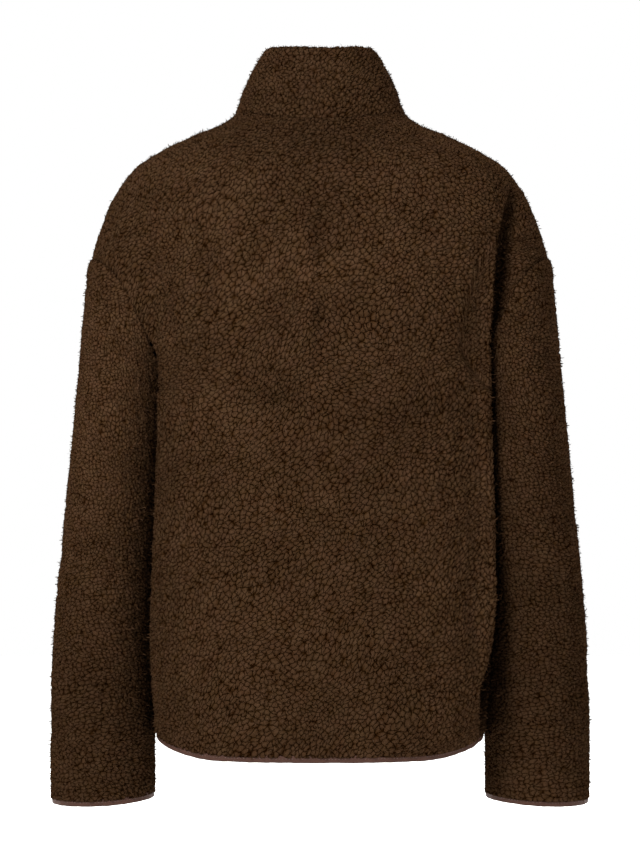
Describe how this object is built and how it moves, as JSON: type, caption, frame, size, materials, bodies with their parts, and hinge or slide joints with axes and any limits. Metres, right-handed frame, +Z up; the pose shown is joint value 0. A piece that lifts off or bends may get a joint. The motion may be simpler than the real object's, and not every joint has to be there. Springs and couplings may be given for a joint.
{
  "type": "teddy fleece jacket",
  "caption": "Oversized zip-through jacket in thick curly pile fleece, with dropped shoulders, a stand collar and narrow elastic binding at hem and cuffs.",
  "frame": {"origin": "centre of the neck opening, level with the inner ends of the shoulder seams", "axes": "+Z up out of the neck opening, +Y the front of the jacket, +X the wearer's right"},
  "size_m": [0.5432, 0.2572, 0.7559],
  "materials": {
    "fleece": "matt curly pile, dark brown",
    "binding": "smooth elastic binding, reddish brown",
    "zip_tape": "woven tape, dark brown",
    "zip_metal": "painted, dark brown, satin"
  },
  "bodies": {
    "jacket": {"back": "fleece", "front_left": "fleece", "front_right": "fleece", "sleeve_left": "fleece", "sleeve_right": "fleece", "collar": "fleece", "hem_binding": "binding", "cuff_binding_left": "binding", "cuff_binding_right": "binding", "zip_tape_left": "zip_tape", "zip_tape_right": "zip_tape", "zip_slider": "zip_metal"},
    "pull": {"zip_pull": "zip_metal"}
  },
  "joints": [
    {"name": "pull_swing", "type": "hinge", "parent": "jacket", "child": "pull", "pos_m": [0, 0.08115, 0.02201], "axis": [1, 0, 0], "range_deg": [0, 150]}
  ]
}
